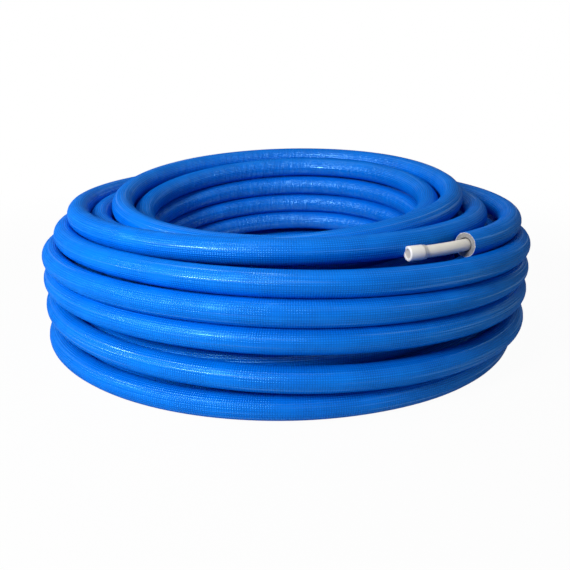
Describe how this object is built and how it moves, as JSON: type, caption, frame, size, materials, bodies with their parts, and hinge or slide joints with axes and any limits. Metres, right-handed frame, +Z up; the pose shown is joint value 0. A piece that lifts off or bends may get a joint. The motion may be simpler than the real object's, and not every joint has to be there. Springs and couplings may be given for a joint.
{
  "type": "coil of pre-insulated pipe",
  "caption": "Free-standing ring coil of small-bore composite pipe in a blue foam sleeve, with its bare white end closed by a push-on cap.",
  "frame": {"origin": "on the coil's axis at the floor", "axes": "+Z up along the coil's axis, -Y towards the side the free end faces, +X to the right of it"},
  "size_m": [0.7746, 0.775, 0.2653],
  "materials": {
    "film": "glossy embossed film",
    "foam": "cut closed-cell foam",
    "pipe": "satin",
    "cap": "satin"
  },
  "bodies": {
    "root": {"sleeve": "film", "pipe": "pipe", "end_cap": "cap"}
  },
  "joints": []
}
